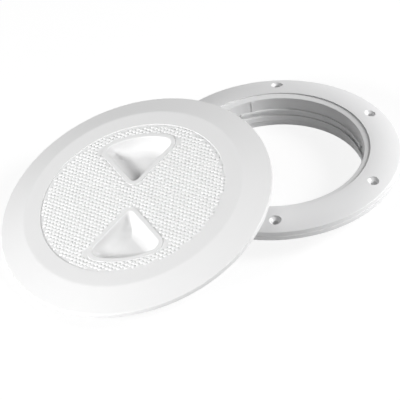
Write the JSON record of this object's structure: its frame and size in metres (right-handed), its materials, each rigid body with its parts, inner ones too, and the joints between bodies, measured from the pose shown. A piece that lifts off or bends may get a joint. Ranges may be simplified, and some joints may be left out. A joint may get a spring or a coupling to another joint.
{
  "type": "deck inspection plate",
  "caption": "Round deck inspection plate: a flanged ring with a bayonet bore and a wide bevelled lid with two finger recesses, taken off and leaning on the ring.",
  "frame": {"origin": "on the ring's axis in the plane of the deck, which is the underside of the flange", "axes": "+Z along the ring's axis, up out of the deck; +Y away from the viewer of the picture; the lid lies towards -X and -Y"},
  "size_m": [0.2985, 0.2454, 0.0584],
  "materials": {
    "ring_plastic": "satin",
    "lid_plastic": "satin",
    "seal_rubber": "matte"
  },
  "bodies": {
    "root": {"mounting_ring": "ring_plastic", "lid": "lid_plastic", "lid_seal": "seal_rubber"}
  },
  "joints": []
}
